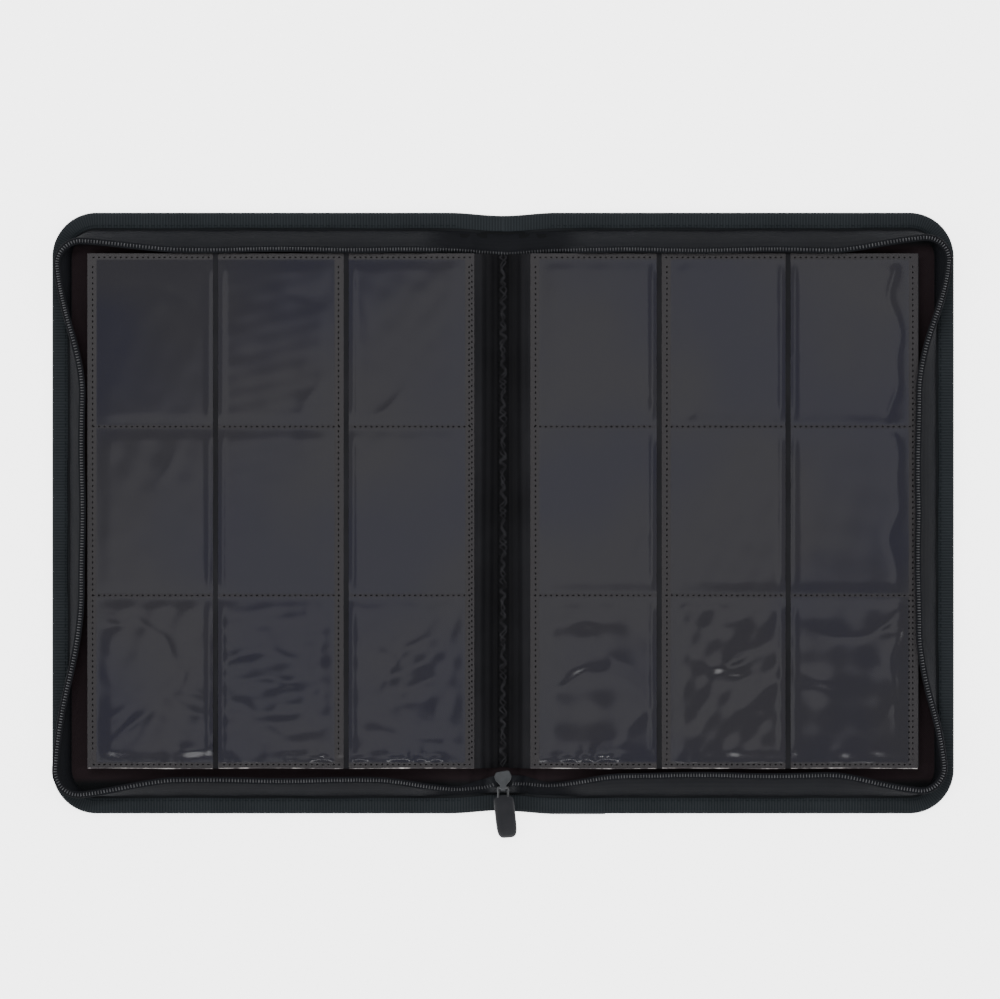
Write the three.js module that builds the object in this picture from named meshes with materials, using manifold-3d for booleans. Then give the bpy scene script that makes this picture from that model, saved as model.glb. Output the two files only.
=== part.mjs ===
// A zip-round trading card binder, lying open flat. Millimetres, +Z up.
// The origin is the middle of the spine's underside. +X runs to the back cover, +Y to the top edge.
import * as THREE from 'three';
import { mergeVertices } from 'three/addons/utils/BufferGeometryUtils.js';
import Module from 'manifold-3d';

const wasm = await Module();
wasm.setup();

// ---- Covers ----
const sideRoom = 20.4; // from the leaves' outer edge to the cover's, measured at the fold line
const endRoom = 24.5; // from the leaves' ends to the covers' ends
const cornerRadius = 25;
const skinThickness = 0.8;
const paddingThickness = 1.1;
const boardThickness = 1.8;
const liningThickness = 0.5;
const layerGap = 0.1; // air between two layers that are glued on the real binder
const pieceGap = 0.3; // air between pieces that butt or slide past each other

// ---- Spine and folds ----
const foldOut = 16.5; // each fold line's distance from the middle
const foldHeight = 1.0;
const foldClearance = 2.0; // from the fold line to the nearest cover board
const skinClearance = 1.0; // from the fold line to the cloth on either side
const spineHalf = 12.4;
const spineBoardThickness = 1.6;
const spinePullIn = 1.7; // the spine's ends lie this much inside the covers' ends

// ---- Edge binding ----
const bindingWidth = 8.8;
const bindingCloth = 0.8;
const bindingStep = 0.4; // how far the binding stands above the lining

// ---- Zip ----
const tapeThickness = 0.8;
const baseInset = 10.4; // the zip tape is sewn this far inside the cover's edge
const coilWidth = 2.6;
const coilHeight = 1.5;
const closingGap = 0.3; // from the coil's top to the middle plane of the closed binder
const leanSide = 7.1; // how far the tape leans in along the long side
const leanEnd = 10.1; // the same along the top and bottom
const bulgeSide = 8.9; // how far it leans out past its base line at the corners
const leanCorner = 5.6; // inward lean of the top and bottom runs at the corners
const sideReach = 90; // length of tape that the corner bulge fades over, along the side
const endReach = 60; // the same along the top and bottom
const leanPower = 1.6; // above 1, the tape stands steep at its foot and leans more at its top

// ---- Leaves ----
const leafInner = 16; // inner edge, from the middle
const columnCount = 3;
const rowCount = 3;
const columnWidth = 70;
const columnGap = 2.8;
const rowPitch = 94;
const leafMargin = 2.5; // above the top row and below the bottom row
const leafShift = 1.2; // the leaves lie this much nearer the top edge
const backingThickness = 0.3;
const filmThickness = 0.16;
const pocketDepth = 0.12;
const leafPitch = 1.0;
const lowerLeafCount = 7;
const weldWidth = 2.2;
const weldEdge = 0.3; // the outer weld lines lie this far inside the film's edge
const leafCorner = 1;

// ---- Seam and gutter ----
const seamHalf = 3.4;
const seamHeight = 2.6;
const gutterCloth = 0.4;

// ---- Slider and pull ----
const sliderWidth = 9.9;
const sliderTail = 6.8; // width at the narrow end
const sliderLength = 10.1;
const sliderPlate = 1.0;
const sliderSlot = 2.2; // between the two plates
const sliderInset = 20.3; // from the bottom edge to the middle of the slider
const bridgeWidth = 2.4;
const bridgeThickness = 1.1;
const bridgeClear = 2.3;
const bridgeNose = 1.8; // the bridge reaches this far past the narrow end
const wireThickness = 1.3;
const bailWidth = 6.6;
const bailLength = 9.2;
const tabWidth = 10.4;
const tabLength = 27.5;
const tabThickness = 2.4;
const tabCorner = 3.5;
const tabChamfer = 1.8;
const tabHead = 4.2; // how far the wire reaches into the tab
const pullSlope = 28; // degrees that the pull hangs down

// Worked out from the sizes above.
const leafOuter = leafInner + columnCount * columnWidth + (columnCount - 1) * columnGap;
const leafHalf = (rowCount * rowPitch + 2 * leafMargin) / 2;
const coverWidth = leafOuter - foldOut + sideRoom; // from the fold line to the outer edge
const coverOuter = foldOut + coverWidth;
const binderHeight = 2 * (leafHalf + endRoom);
const halfHeight = binderHeight / 2;
const sliderY = sliderInset - halfHeight;
const boardBase = skinThickness + paddingThickness + 2 * layerGap;
const boardTop = boardBase + boardThickness;
const liningBase = boardTop + layerGap;
const liningTop = liningBase + liningThickness;
const bindingTop = liningTop + bindingStep;
const middlePlane = foldHeight + foldOut; // where the two halves meet, measured from a cover's skin
const coilTop = middlePlane - closingGap;
const coilBase = coilTop - coilHeight;
const tapeTop = coilBase - layerGap;
const spineBoardBase = skinThickness + layerGap;
const spineLiningBase = spineBoardBase + spineBoardThickness + layerGap;
const spineLiningTop = spineLiningBase + liningThickness;
const spineEnd = halfHeight - spinePullIn;
const leafThickness = backingThickness + 2 * (pocketDepth + filmThickness);
const stackBase = liningTop + pieceGap;
const topLeafBase = stackBase + lowerLeafCount * leafPitch;
const backingBase = topLeafBase + filmThickness + pocketDepth;
const leafMiddle = backingBase + backingThickness / 2;
const seamBase = spineLiningTop + layerGap;
const slotMiddle = coilBase + coilHeight / 2;
const slotBase = slotMiddle - sliderSlot / 2;
const slotTop = slotMiddle + sliderSlot / 2;
const plateTop = slotTop + sliderPlate;
const bridgeTop = plateTop + bridgeClear + bridgeThickness;
const sliderTailY = sliderY - sliderLength / 2;
const noseY = sliderTailY - bridgeNose;
const pivotY = noseY + bridgeThickness + wireThickness / 2 + pieceGap;
const pivotZ = plateTop + bridgeClear / 2;
const tapeLipZ = slotMiddle - tapeThickness / 2;
const coilBottomY = sliderY - sliderLength / 4;
// The covers' zip starts where it clears the slider's bridge when the covers stand closed.
const zipStart = foldOut + bridgeTop - foldHeight + 2 * pieceGap;

// ---- Helpers ----

// A closed three.js geometry as a manifold-3d solid.
function toSolid(geometry) {
  const merged = mergeVertices(bareCopy(geometry), 1e-5);
  const mesh = new wasm.Mesh({
    numProp: 3,
    vertProperties: new Float32Array(merged.attributes.position.array),
    triVerts: new Uint32Array(merged.index.array),
  });
  return new wasm.Manifold(mesh);
}

function toGeometry(solid) {
  const mesh = solid.getMesh();
  const geometry = new THREE.BufferGeometry();
  geometry.setAttribute('position', new THREE.BufferAttribute(mesh.vertProperties, 3));
  geometry.setIndex(new THREE.BufferAttribute(mesh.triVerts, 1));
  return geometry;
}

function join(...geometries) {
  return toGeometry(geometries.map(toSolid).reduce((all, next) => all.add(next)));
}

function cut(geometry, ...tools) {
  return toGeometry(tools.map(toSolid).reduce((all, next) => all.subtract(next), toSolid(geometry)));
}

function box(x0, x1, y0, y1, z0, z1) {
  const geometry = new THREE.BoxGeometry(x1 - x0, y1 - y0, z1 - z0);
  return geometry.translate((x0 + x1) / 2, (y0 + y1) / 2, (z0 + z1) / 2);
}

function slab(shape, z0, z1) {
  const geometry = new THREE.ExtrudeGeometry(shape, {
    depth: z1 - z0, bevelEnabled: false, curveSegments: 8,
  });
  return geometry.translate(0, 0, z0);
}

// A solid through rings of points. Every ring has the same outline, given once in its own plane.
function loft(rings, outline) {
  const count = outline.length;
  const points = rings.flat().flatMap((p) => [p.x, p.y, p.z]);
  const faces = [];
  for (let r = 0; r + 1 < rings.length; r += 1) {
    for (let i = 0; i < count; i += 1) {
      const a = r * count + i;
      const b = r * count + (i + 1) % count;
      faces.push(a, b, b + count, a, b + count, a + count);
    }
  }
  const last = (rings.length - 1) * count;
  const turn = THREE.ShapeUtils.area(outline);
  for (const triangle of THREE.ShapeUtils.triangulateShape(outline, [])) {
    const along = THREE.ShapeUtils.area(triangle.map((i) => outline[i])) * turn > 0;
    const [a, b, c] = along ? triangle : triangle.reverse();
    faces.push(c, b, a, last + a, last + b, last + c);
  }
  const geometry = new THREE.BufferGeometry();
  geometry.setAttribute('position', new THREE.Float32BufferAttribute(points, 3));
  geometry.setIndex(faces);
  return outward(geometry);
}

// Turns a closed mesh's faces outward, by the sign of its volume.
function outward(geometry) {
  const { position } = geometry.attributes;
  const index = geometry.index.array;
  const [a, b, c] = [new THREE.Vector3(), new THREE.Vector3(), new THREE.Vector3()];
  let volume = 0;
  for (let i = 0; i < index.length; i += 3) {
    a.fromBufferAttribute(position, index[i]);
    b.fromBufferAttribute(position, index[i + 1]);
    c.fromBufferAttribute(position, index[i + 2]);
    volume += a.dot(b.cross(c));
  }
  if (volume < 0) {
    geometry.setIndex(Array.from(index).reverse());
  }
  return geometry;
}

function mirrored(geometry) {
  const copy = geometry.clone();
  copy.scale(-1, 1, 1);
  if (copy.index) {
    copy.setIndex(Array.from(copy.index.array).reverse());
    return copy;
  }
  return outward(mergeVertices(bareCopy(copy), 1e-5));
}

function bareCopy(geometry) {
  const copy = geometry.clone();
  copy.deleteAttribute('normal');
  copy.deleteAttribute('uv');
  return copy;
}

// ---- Paths and outlines of a cover, drawn on the +X side ----

// The cover's outline between two sides x = startX and the outer edge, drawn in by inset.
function coverShape(inset, startX) {
  const r = cornerRadius - inset > 1 ? cornerRadius - inset : 1;
  const x1 = coverOuter - inset;
  const y1 = halfHeight - inset;
  const shape = new THREE.Shape();
  shape.moveTo(startX, -y1);
  shape.lineTo(x1 - r, -y1);
  shape.absarc(x1 - r, -y1 + r, r, -Math.PI / 2, 0);
  shape.lineTo(x1, y1 - r);
  shape.absarc(x1 - r, y1 - r, r, 0, Math.PI / 2);
  shape.lineTo(startX, y1);
  shape.closePath();
  return shape;
}

// Stations along the cover's edge: top run, corner, side, corner, bottom run.
// Each has its place, its outward normal and its distance from the nearer corner's middle.
function edgeStations(inset, startX, step) {
  const r = cornerRadius - inset;
  const cx = coverOuter - inset - r;
  const cy = halfHeight - inset - r;
  const arc = Math.PI * r / 2;
  const runs = Math.ceil((cx - startX) / step);
  const sides = 2 * Math.ceil(cy / step);
  const arcs = 6;
  const stations = [];
  const add = (x, y, angle, fromCorner) => stations.push({
    x, y, nx: Math.cos(angle), ny: Math.sin(angle), fromCorner,
  });
  for (let i = 0; i < runs; i += 1) {
    const x = startX + (cx - startX) * i / runs;
    add(x, cy + r, Math.PI / 2, cx - x + arc / 2);
  }
  for (let i = 0; i < arcs; i += 1) {
    const angle = Math.PI / 2 * (1 - i / arcs);
    add(cx + r * Math.cos(angle), cy + r * Math.sin(angle), angle, arc * Math.abs(i / arcs - 0.5));
  }
  for (let i = 0; i <= sides / 2; i += 1) {
    const y = cy * (1 - 2 * i / sides);
    add(cx + r, y, 0, cy - y + arc / 2);
  }
  const lower = stations.slice(0, -1).reverse();
  return stations.concat(lower.map((s) => ({ ...s, y: -s.y, ny: -s.ny })));
}

// 1 at a corner's middle, fading smoothly to 0 at the reach.
function fade(distance, reach) {
  const u = Math.min(distance / reach, 1);
  return (1 - u * u) ** 2;
}

// How far the zip's top edge lies from its base line at a station.
function leanAt(station) {
  const side = fade(station.fromCorner, sideReach);
  const end = fade(station.fromCorner, endReach);
  const outSign = Math.sign(station.ny);
  const dx = bulgeSide * side - leanSide * station.nx * (1 - side);
  const dy = -leanEnd * station.ny * (1 - end) - leanCorner * outSign * end;
  return { dx, dy };
}

// ---- Cover pieces ----

// The outer skin: a shallow tray whose rim steps up into the edge binding.
function coverSkin() {
  const rim = bindingWidth + pieceGap;
  const flange = bindingCloth + layerGap;
  const start = foldOut + skinClearance;
  const floor = slab(coverShape(rim, start), 0, skinThickness);
  const rimWall = cut(
    slab(coverShape(rim, start), 0, flange + skinThickness),
    slab(coverShape(rim + skinThickness, start - 1), -1, flange + skinThickness + 1),
  );
  const lip = cut(
    slab(coverShape(bindingCloth + pieceGap, start), flange, flange + skinThickness),
    slab(coverShape(rim + skinThickness, start - 1), -1, flange + skinThickness + 1),
  );
  return join(floor, rimWall, lip);
}

function coverPadding() {
  const inset = bindingWidth + skinThickness + 2 * pieceGap;
  const base = skinThickness + layerGap;
  return slab(coverShape(inset, foldOut + foldClearance), base, base + paddingThickness);
}

function coverBoard() {
  const inset = bindingCloth + pieceGap;
  return slab(coverShape(inset, foldOut + foldClearance), boardBase, boardTop);
}

function coverLining() {
  const inset = baseInset + tapeThickness / 2 + pieceGap;
  return slab(coverShape(inset, foldOut + foldClearance), liningBase, liningTop);
}

// A U-section strip that wraps the edge of the cover.
function bindingProfile(top) {
  const w = bindingWidth;
  const t = bindingCloth;
  return [[0, 0], [w, 0], [w, t], [t, t], [t, top - t], [w, top - t], [w, top], [0, top]];
}

function coverBinding() {
  const profile = bindingProfile(bindingTop);
  const stations = edgeStations(0, foldOut + foldClearance, coverWidth);
  const rings = stations.map((s) => profile.map(
    ([inward, z]) => new THREE.Vector3(s.x - s.nx * inward, s.y - s.ny * inward, z),
  ));
  return loft(rings, profile.map(([inward, z]) => new THREE.Vector2(-inward, z)));
}

// The zip tape stands on the board and leans as far as leanAt says at its top.
function tapeRing(station, foot, top, lean) {
  const levels = 4;
  const half = tapeThickness / 2;
  const side = (sign, level) => {
    const t = level / levels;
    const f = t ** leanPower;
    return new THREE.Vector3(
      station.x + lean.dx * f + sign * half * station.nx,
      station.y + lean.dy * f + sign * half * station.ny,
      foot + (top - foot) * t,
    );
  };
  const outer = Array.from({ length: levels + 1 }, (_, k) => side(1, k));
  const inner = Array.from({ length: levels + 1 }, (_, k) => side(-1, levels - k));
  return outer.concat(inner);
}

function ringOutline(ring, station) {
  return ring.map((p) => new THREE.Vector2(
    (p.x - station.x) * station.nx + (p.y - station.y) * station.ny, p.z,
  ));
}

function zipTape() {
  const stations = edgeStations(baseInset, zipStart, 16);
  const rings = stations.map((s) => tapeRing(s, liningBase, tapeTop, leanAt(s)));
  return loft(rings, ringOutline(rings[0], stations[0]));
}

function zipCoil() {
  const half = coilWidth / 2;
  const profile = [[-half, coilBase], [half, coilBase], [half, coilTop], [-half, coilTop]];
  const stations = edgeStations(baseInset, zipStart, 16);
  const rings = stations.map((s) => {
    const { dx, dy } = leanAt(s);
    return profile.map(([out, z]) => new THREE.Vector3(
      s.x + dx + s.nx * out, s.y + dy + s.ny * out, z,
    ));
  });
  return loft(rings, profile.map(([out, z]) => new THREE.Vector2(out, z)));
}

// ---- Spine pieces ----

function spineSkin() {
  const end = spineEnd - bindingWidth - pieceGap;
  const x = foldOut - skinClearance;
  return box(-x, x, -end, end, 0, skinThickness);
}

function spineBoard() {
  const end = spineEnd - bindingCloth - pieceGap;
  return box(-spineHalf, spineHalf, -end, end, spineBoardBase, spineBoardBase + spineBoardThickness);
}

function spineLining() {
  const end = spineEnd - bindingWidth - pieceGap;
  return box(-spineHalf, spineHalf, -end, end, spineLiningBase, spineLiningTop);
}

// The binding over one end of the spine. direction is 1 at the top and -1 at the bottom.
function spineBinding(direction) {
  const profile = bindingProfile(spineLiningTop + bindingStep);
  const rings = [-spineHalf, spineHalf].map((x) => profile.map(
    ([inward, z]) => new THREE.Vector3(x, direction * (spineEnd - inward), z),
  ));
  return loft(rings, profile.map(([inward, z]) => new THREE.Vector2(-inward, z)));
}

// The zip tape across the top end of the spine, leaning in as on the covers.
function gussetTop() {
  const station = { x: 0, y: halfHeight - baseInset - spinePullIn, nx: 0, ny: 1 };
  const lean = { dx: 0, dy: spinePullIn - leanEnd };
  const ring = tapeRing(station, spineLiningTop + layerGap, tapeTop, lean);
  const place = (x) => ring.map((p) => new THREE.Vector3(x, p.y, p.z));
  return loft([place(-spineHalf), place(spineHalf)], ringOutline(ring, station));
}

function spineCoilTop() {
  const y = halfHeight - baseInset - leanEnd;
  return box(-spineHalf, spineHalf, y - coilWidth / 2, y + coilWidth / 2, coilBase, coilTop);
}

// At the bottom end the tape stands behind the slider and turns in flat between its plates. Its
// upper edge is cut slanting, so that the pull passes over it when the slider moves.
function gussetBottom() {
  const footY = -(halfHeight - baseInset - spinePullIn);
  const standY = sliderTailY - pieceGap - tapeThickness;
  const lipY = coilBottomY - coilWidth / 2 - layerGap;
  const foot = spineLiningTop + layerGap;
  const profile = [
    [footY, foot], [footY + tapeThickness, foot],
    [standY + tapeThickness, tapeLipZ], [lipY, tapeLipZ],
    [lipY, tapeLipZ + tapeThickness], [standY + tapeThickness, tapeLipZ + tapeThickness],
    [standY, tapeLipZ - tapeThickness],
  ];
  const place = (x) => profile.map(([y, z]) => new THREE.Vector3(x, y, z));
  return loft([place(-spineHalf), place(spineHalf)], profile.map(([y, z]) => new THREE.Vector2(y, z)));
}

function spineCoilBottom() {
  const half = coilHeight / 2;
  return box(
    -spineHalf, spineHalf, coilBottomY - coilWidth / 2, coilBottomY + coilWidth / 2,
    slotMiddle - half, slotMiddle + half,
  );
}

function leafSeam() {
  const rib = new THREE.Shape();
  rib.moveTo(-seamHalf, 0);
  rib.lineTo(seamHalf, 0);
  rib.lineTo(seamHalf, seamHeight * 0.6);
  rib.quadraticCurveTo(seamHalf * 0.8, seamHeight, 0, seamHeight);
  rib.quadraticCurveTo(-seamHalf * 0.8, seamHeight, -seamHalf, seamHeight * 0.6);
  rib.closePath();
  const geometry = new THREE.ExtrudeGeometry(rib, {
    depth: 2 * leafHalf, bevelEnabled: false, curveSegments: 5,
  });
  return geometry.rotateX(Math.PI / 2).translate(0, leafHalf + leafShift, seamBase);
}

// The cloth that runs from the seam to the leaves on the +X side.
function gutter() {
  const x0 = seamHalf + pieceGap;
  const x1 = leafInner - pieceGap;
  const y0 = leafShift - leafHalf;
  const y1 = leafShift + leafHalf;
  return box(x0, Math.min(x1, spineHalf), y0, y1, seamBase, seamBase + gutterCloth);
}

// ---- Leaves, drawn on the +X side ----

function leafShape(x0, x1) {
  const y0 = leafShift - leafHalf;
  const y1 = leafShift + leafHalf;
  const r = leafCorner;
  const shape = new THREE.Shape();
  shape.moveTo(x0, y0);
  shape.lineTo(x1 - r, y0);
  shape.absarc(x1 - r, y0 + r, r, -Math.PI / 2, 0);
  shape.lineTo(x1, y1 - r);
  shape.absarc(x1 - r, y1 - r, r, 0, Math.PI / 2);
  shape.lineTo(x0, y1);
  shape.closePath();
  return shape;
}

function lowerLeaf(level) {
  const z = stackBase + level * leafPitch;
  return slab(leafShape(leafInner, leafOuter), z, z + leafThickness);
}

function leafBacking() {
  return slab(leafShape(leafInner, leafOuter), backingBase, backingBase + backingThickness);
}

// The weld lines of one film column, as a comb: one side line and an arm along every row line.
// open is 1 if the pockets open toward +X and -1 if they open toward -X.
function weldComb(x0, x1, open) {
  const back = open > 0 ? x0 + weldEdge : x1 - weldEdge;
  const front = open > 0 ? x1 - weldEdge : x0 + weldEdge;
  const y0 = leafShift - leafHalf;
  const comb = new THREE.Shape();
  comb.moveTo(back, y0 + weldEdge);
  for (let row = 0; row <= rowCount; row += 1) {
    const line = y0 + leafMargin + row * rowPitch;
    const low = row === 0 ? y0 + weldEdge : line - weldWidth / 2;
    const high = row === rowCount ? y0 + 2 * leafHalf - weldEdge : line + weldWidth / 2;
    if (row > 0) {
      comb.lineTo(back + open * weldWidth, low);
    }
    comb.lineTo(front, low);
    comb.lineTo(front, high);
    if (row < rowCount) {
      comb.lineTo(back + open * weldWidth, high);
    }
  }
  comb.lineTo(back, y0 + 2 * leafHalf - weldEdge);
  comb.closePath();
  return comb;
}

// One column of clear film. It is welded to the backing along every row line and along one side,
// and each pocket opens on the other side: toward the spine in the outer column, away from it in
// the others. face is 1 above the backing and -1 below it.
function filmColumn(column, face) {
  const x0 = leafInner + column * (columnWidth + columnGap);
  const x1 = x0 + columnWidth;
  const under = backingThickness / 2 + pocketDepth;
  const at = (a, b) => (face > 0 ? [leafMiddle + a, leafMiddle + b] : [leafMiddle - b, leafMiddle - a]);
  const outerColumn = column === columnCount - 1;
  const y0 = leafShift - leafHalf;
  const sheet = outerColumn
    ? slab(leafShape(x0, x1), ...at(under, under + filmThickness))
    : box(x0, x1, y0, y0 + 2 * leafHalf, ...at(under, under + filmThickness));
  const depth = pocketDepth * 2 / 3;
  const comb = weldComb(x0, x1, outerColumn ? -1 : 1);
  const welds = slab(comb, ...at(under - depth, under + filmThickness / 2));
  return join(sheet, welds);
}

// ---- Slider and pull ----

function sliderOutline() {
  const w = sliderWidth / 2;
  const tail = sliderTail / 2;
  const y1 = sliderY + sliderLength / 2;
  const y0 = sliderY - sliderLength / 2;
  const shape = new THREE.Shape();
  shape.moveTo(-tail, y0);
  shape.quadraticCurveTo(0, y0 - tail / 4, tail, y0);
  shape.quadraticCurveTo(tail * 1.1, sliderY, w, sliderY + sliderLength / 4);
  shape.lineTo(w, y1 - sliderLength / 6);
  shape.quadraticCurveTo(w * 0.9, y1, w * 0.5, y1);
  shape.lineTo(-w * 0.5, y1);
  shape.quadraticCurveTo(-w * 0.9, y1, -w, y1 - sliderLength / 6);
  shape.lineTo(-w, sliderY + sliderLength / 4);
  shape.quadraticCurveTo(-tail * 1.1, sliderY, -tail, y0);
  return shape;
}

function sliderBody() {
  const w = bridgeWidth / 2;
  const y1 = sliderY + sliderLength / 2;
  const outline = sliderOutline();
  const overlap = sliderPlate / 4;
  const lower = slab(outline, slotBase - sliderPlate, slotBase);
  const upper = slab(outline, slotTop, plateTop);
  const post = box(
    -w, w, y1 - sliderLength / 4, y1 - sliderPlate / 2, slotBase - overlap, slotTop + overlap,
  );
  const arch = new THREE.Shape();
  arch.moveTo(y1 - sliderLength / 6, plateTop - overlap);
  arch.lineTo(y1 - sliderLength / 4, bridgeTop);
  arch.lineTo(noseY + bridgeThickness, bridgeTop);
  arch.quadraticCurveTo(noseY, bridgeTop, noseY, bridgeTop - bridgeThickness);
  arch.lineTo(noseY, plateTop - sliderPlate);
  arch.lineTo(sliderTailY + sliderPlate, plateTop - sliderPlate);
  arch.lineTo(sliderTailY + sliderPlate, plateTop - overlap);
  arch.closePath();
  const windowHole = new THREE.Path();
  windowHole.moveTo(y1 - sliderLength / 3, plateTop);
  windowHole.lineTo(noseY + bridgeThickness, plateTop);
  windowHole.lineTo(noseY + bridgeThickness, plateTop + bridgeClear);
  windowHole.lineTo(y1 - sliderLength / 3, plateTop + bridgeClear);
  windowHole.closePath();
  arch.holes.push(windowHole);
  const bridge = new THREE.ExtrudeGeometry(arch, {
    depth: bridgeWidth, bevelEnabled: false, curveSegments: 4,
  });
  // The arch is drawn in the YZ plane, so X takes the place of the extrusion.
  bridge.rotateX(Math.PI / 2).rotateZ(Math.PI / 2).translate(-w, 0, 0);
  return join(lower, upper, post, bridge);
}

// A straight round wire between two points, with round ends.
function wire(from, to) {
  const length = from.distanceTo(to);
  const rod = new THREE.CylinderGeometry(wireThickness / 2, wireThickness / 2, length, 10);
  const turn = new THREE.Quaternion().setFromUnitVectors(
    new THREE.Vector3(0, 1, 0), to.clone().sub(from).normalize(),
  );
  rod.applyQuaternion(turn);
  const middle = from.clone().add(to).multiplyScalar(0.5);
  rod.translate(middle.x, middle.y, middle.z);
  const ball = new THREE.SphereGeometry(wireThickness / 2, 10, 6);
  return [rod, ball.translate(from.x, from.y, from.z)];
}

// The pull is drawn lying flat along -Y from its pivot, and its group turns it to its slope.
function pullBail() {
  const x = (bailWidth - wireThickness) / 2;
  const corners = [[-x, 0], [x, 0], [x, -bailLength], [-x, -bailLength]];
  const points = corners.map(([px, py]) => new THREE.Vector3(px, py, 0));
  const rods = points.flatMap((p, i) => wire(p, points[(i + 1) % points.length]));
  return join(...rods);
}

function pullTab() {
  const w = tabWidth / 2;
  const y1 = -bailLength + tabHead;
  const y0 = y1 - tabLength;
  const shape = new THREE.Shape();
  shape.moveTo(-w + tabCorner, y0);
  shape.lineTo(w - tabCorner, y0);
  shape.absarc(w - tabCorner, y0 + tabCorner, tabCorner, -Math.PI / 2, 0);
  shape.lineTo(w, y1 - tabChamfer);
  shape.lineTo(w - tabChamfer, y1);
  shape.lineTo(-w + tabChamfer, y1);
  shape.lineTo(-w, y1 - tabChamfer);
  shape.lineTo(-w, y0 + tabCorner);
  shape.absarc(-w + tabCorner, y0 + tabCorner, tabCorner, Math.PI, Math.PI * 1.5);
  const body = slab(shape, -tabThickness / 2, tabThickness / 2);
  const x = (bailWidth - wireThickness) / 2;
  const slot = wireThickness / 2 + pieceGap / 2;
  const legs = [-x, x].map((px) => box(
    px - slot, px + slot, -bailLength - slot, y1 + 1, -slot, slot,
  ));
  const cross = box(-x, x, -bailLength - slot, -bailLength + slot, -slot, slot);
  return cut(body, ...legs, cross);
}

// ---- Materials ----

function material(color, roughness, metalness = 0) {
  return new THREE.MeshStandardMaterial({ color, roughness, metalness });
}

const coverCloth = () => material(0x1d1e20, 0.7);
const foam = () => material(0x55565a, 0.95);
const boardPaper = () => material(0x8a7a63, 0.9);
const liningCloth = () => material(0x17110f, 0.85);
const ribbedTape = () => material(0x262d30, 0.8);
const zipCloth = () => material(0x2d3032, 0.75);
const nylonCoil = () => material(0x9a9da0, 0.45);
const stitchedSeam = () => material(0x161618, 0.8);
const leafCloth = () => material(0x1c1c20, 0.6);
const clearFilm = () => {
  const film = material(0x50505a, 0.12);
  film.transparent = true;
  film.opacity = 0.45;
  return film;
};
const castMetal = () => material(0x4b4e50, 0.5, 0.6);
const steelWire = () => material(0x6c6f72, 0.35, 0.9);
const softRubber = () => material(0x2c2d30, 0.7);

// ---- Assembly ----

const binder = new THREE.Group();

function place(name, geometry, look, parent = binder) {
  const mesh = new THREE.Mesh(geometry, look);
  mesh.name = name;
  parent.add(mesh);
  return mesh;
}

function buildSpine() {
  place('spine_skin', spineSkin(), coverCloth());
  place('spine_board', spineBoard(), boardPaper());
  place('spine_lining', spineLining(), liningCloth());
  place('spine_binding_top', spineBinding(1), ribbedTape());
  place('spine_binding_bottom', spineBinding(-1), ribbedTape());
  place('spine_zip_tape_top', gussetTop(), zipCloth());
  place('spine_zip_tape_bottom', gussetBottom(), zipCloth());
  place('spine_zip_coil_top', spineCoilTop(), nylonCoil());
  place('spine_zip_coil_bottom', spineCoilBottom(), nylonCoil());
  place('leaf_seam', leafSeam(), stitchedSeam());
}

function buildCover(name, side) {
  const flip = (geometry) => (side < 0 ? mirrored(geometry) : geometry);
  place(`${name}_skin`, flip(coverSkin()), coverCloth());
  place(`${name}_padding`, flip(coverPadding()), foam());
  place(`${name}_board`, flip(coverBoard()), boardPaper());
  place(`${name}_lining`, flip(coverLining()), liningCloth());
  place(`${name}_binding`, flip(coverBinding()), ribbedTape());
  place(`${name}_zip_tape`, flip(zipTape()), zipCloth());
  place(`${name}_zip_coil`, flip(zipCoil()), nylonCoil());
}

function buildLeaves(name, side) {
  const flip = (geometry) => (side < 0 ? mirrored(geometry) : geometry);
  place(`${name}_gutter`, flip(gutter()), leafCloth());
  for (let level = 0; level < lowerLeafCount; level += 1) {
    place(`${name}_lower_leaf_${level + 1}`, flip(lowerLeaf(level)), leafCloth());
  }
  place(`${name}_top_leaf_backing`, flip(leafBacking()), leafCloth());
  for (let column = 0; column < columnCount; column += 1) {
    place(`${name}_top_leaf_film_${column + 1}`, flip(filmColumn(column, 1)), clearFilm());
    place(`${name}_under_film_${column + 1}`, flip(filmColumn(column, -1)), clearFilm());
  }
}

function buildSlider() {
  place('slider_body', sliderBody(), castMetal());
  const pull = new THREE.Group();
  pull.position.set(0, pivotY, pivotZ);
  pull.rotation.x = THREE.MathUtils.degToRad(pullSlope);
  place('pull_bail', pullBail(), steelWire(), pull);
  place('pull_tab', pullTab(), softRubber(), pull);
  binder.add(pull);
}

buildSpine();
buildCover('front_cover', -1);
buildCover('back_cover', 1);
buildLeaves('left', -1);
buildLeaves('right', 1);
buildSlider();

export default binder;
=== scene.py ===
import math

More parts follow.
